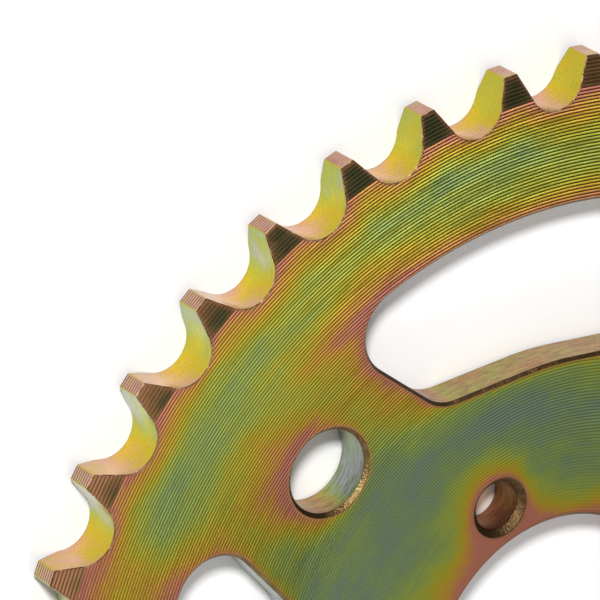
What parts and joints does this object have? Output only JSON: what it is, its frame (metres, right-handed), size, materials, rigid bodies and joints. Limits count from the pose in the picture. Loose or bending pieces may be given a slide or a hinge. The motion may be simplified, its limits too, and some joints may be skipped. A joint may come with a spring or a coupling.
{
  "type": "rear sprocket",
  "caption": "Flat toothed steel plate that a motorcycle's roller chain turns, with a central bore, drive holes and curved slots between its spokes.",
  "frame": {"origin": "on the axis of the bore, in the plane of the back face", "axes": "+Z along the bore's axis, out of the front face; -Y along the first spoke; lying flat with the back face on the ground"},
  "size_m": [0.207, 0.207, 0.0073],
  "materials": {
    "zinc_plated_steel": "face-turned steel with yellow iridescent zinc plating, finely grooved in rings on the faces and smooth in the tooth gaps"
  },
  "bodies": {
    "root": {"sprocket_plate": "zinc_plated_steel"}
  },
  "joints": []
}
